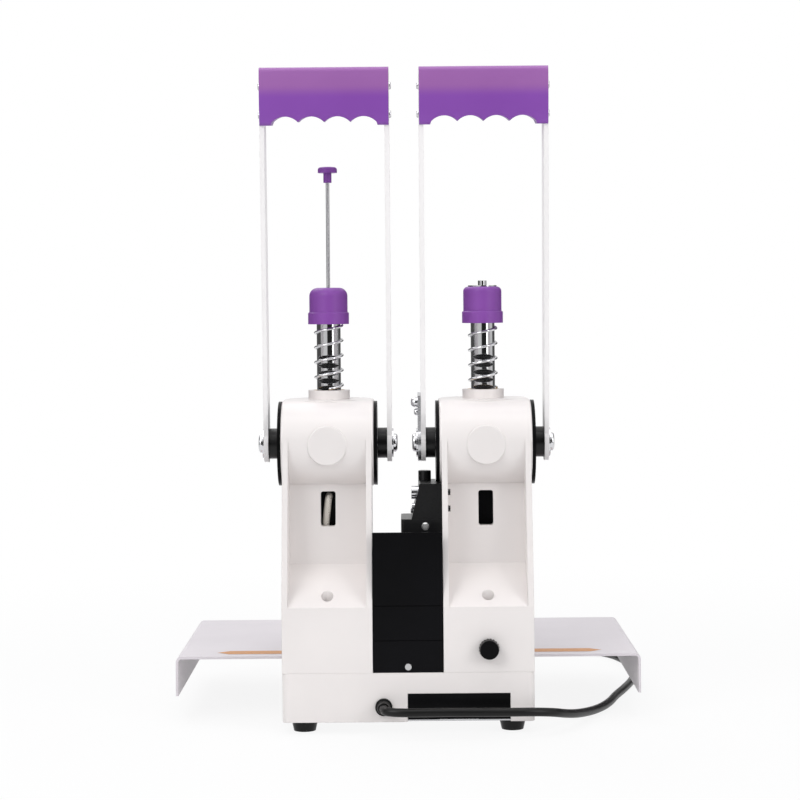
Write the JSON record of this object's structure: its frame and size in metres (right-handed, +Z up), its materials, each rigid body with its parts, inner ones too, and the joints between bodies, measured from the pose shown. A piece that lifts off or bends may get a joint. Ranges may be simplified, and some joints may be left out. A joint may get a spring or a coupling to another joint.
{
  "type": "binding machine",
  "caption": "Desk machine with levers that punch a paper stack and bind it with a heated plastic rivet.",
  "frame": {"origin": "on the desk plane, under the middle of the machine between its table's edges", "axes": "+Z up; -Y towards the work table's front, where the sheets go in; +X to the left in the picture, which shows the rear"},
  "size_m": [0.3974, 0.4212, 0.5323],
  "materials": {
    "white_paint": "gloss",
    "table_paint": "satin",
    "purple_plastic": "satin",
    "black_plastic": "matte",
    "black_steel": "satin",
    "bright_steel": "satin",
    "chrome": "polished",
    "bronze": "satin",
    "aluminium": "satin",
    "rubber": "matte",
    "insulator": "matte",
    "red_lens": "gloss",
    "white_sleeve": "woven"
  },
  "bodies": {
    "base": {"base_shell": "white_paint", "bottom_plate": "bright_steel", "rubber_feet": "rubber", "foot_screws": "bright_steel", "chip_tray": "black_plastic", "work_table": "table_paint", "base_screws": "chrome", "rivet_anvil": "bright_steel", "punch_pad": "purple_plastic", "rivet_column": "white_paint", "punch_column": "white_paint", "column_bolts": "black_steel", "side_discs": "black_plastic", "rack_bushes": "bronze", "shaft_bushes": "bronze", "rivet_spring": "chrome", "punch_spring": "chrome", "heater_wire": "white_sleeve", "heater_lead": "white_sleeve", "control_box": "black_plastic", "switch_housing": "black_plastic", "indicator_lamp": "red_lens", "cutter_body": "black_steel", "cutter_base": "black_steel", "cutter_screws": "chrome", "fuse_holder": "black_plastic", "cord_gland": "rubber", "power_lead_run": "rubber", "power_lead_coil": "rubber", "cord_tie": "black_plastic", "power_plug": "rubber"},
    "rivet_lever": {"rivet_outer_arm": "white_paint", "rivet_inner_arm": "white_paint", "rivet_grip": "purple_plastic", "rivet_hubs": "black_steel", "rivet_pinion": "bright_steel", "rivet_lever_screws": "chrome"},
    "punch_lever": {"punch_inner_arm": "white_paint", "punch_outer_arm": "white_paint", "punch_grip": "purple_plastic", "punch_hubs": "black_steel", "punch_pinion": "bright_steel", "punch_lever_screws": "chrome", "cutter_cam": "bright_steel"},
    "rivet_head": {"rivet_rack": "chrome", "rivet_cap": "purple_plastic", "heat_insulator": "insulator", "heater_block": "aluminium", "rivet_die": "bright_steel"},
    "punch_head": {"punch_rack": "chrome", "punch_cap": "purple_plastic", "punch_cap_screw": "chrome", "punch_chuck": "bright_steel", "hollow_punch": "bright_steel"},
    "needle": {"guide_needle": "bright_steel", "needle_knob": "purple_plastic"},
    "plunger": {"cutter_plunger": "black_steel", "cutter_blade": "bright_steel"},
    "fuse": {"fuse_cap": "black_plastic"},
    "rocker": {"power_rocker": "red_lens"}
  },
  "joints": [
    {"name": "rivet_lever_swing", "type": "hinge", "parent": "base", "child": "rivet_lever", "pos_m": [0.064, 0.0655, 0.2263], "axis": [1, 0, 0], "range_deg": [0, 120], "stiffness_Nm_per_rad": 1.5, "springref_deg": -28.65},
    {"name": "punch_lever_swing", "type": "hinge", "parent": "base", "child": "punch_lever", "pos_m": [-0.064, 0.0655, 0.2263], "axis": [1, 0, 0], "range_deg": [0, 120], "stiffness_Nm_per_rad": 1.5, "springref_deg": -28.65},
    {"name": "rivet_head_slide", "type": "slide", "parent": "base", "child": "rivet_head", "axis": [0, 0, 1], "range_m": [-0.04, 0], "deforming": ["rivet_spring", "heater_lead"]},
    {"name": "punch_head_slide", "type": "slide", "parent": "base", "child": "punch_head", "axis": [0, 0, 1], "range_m": [-0.04, 0], "deforming": ["punch_spring"]},
    {"name": "needle_slide", "type": "slide", "parent": "rivet_head", "child": "needle", "axis": [0, 0, 1], "range_m": [-0.08, 0]},
    {"name": "cutter_plunger_slide", "type": "slide", "parent": "base", "child": "plunger", "axis": [0, 0, 1], "range_m": [-0.0061, 0]},
    {"name": "fuse_cap_turn", "type": "hinge", "parent": "base", "child": "fuse", "pos_m": [-0.064, 0.1275, 0.067], "axis": [0, 1, 0], "range_deg": [0, 90]},
    {"name": "power_rocker_tilt", "type": "hinge", "parent": "base", "child": "rocker", "pos_m": [0, 0.0705, 0.118], "axis": [1, 0, 0], "range_deg": [0, 16]}
  ],
  "couplings": [
    {"joint": "rivet_head_slide", "follows": "rivet_lever_swing", "m_per_rad": -0.019},
    {"joint": "punch_head_slide", "follows": "punch_lever_swing", "m_per_rad": -0.019},
    {"joint": "cutter_plunger_slide", "follows": "punch_lever_swing", "m_per_rad": -0.0028648}
  ]
}
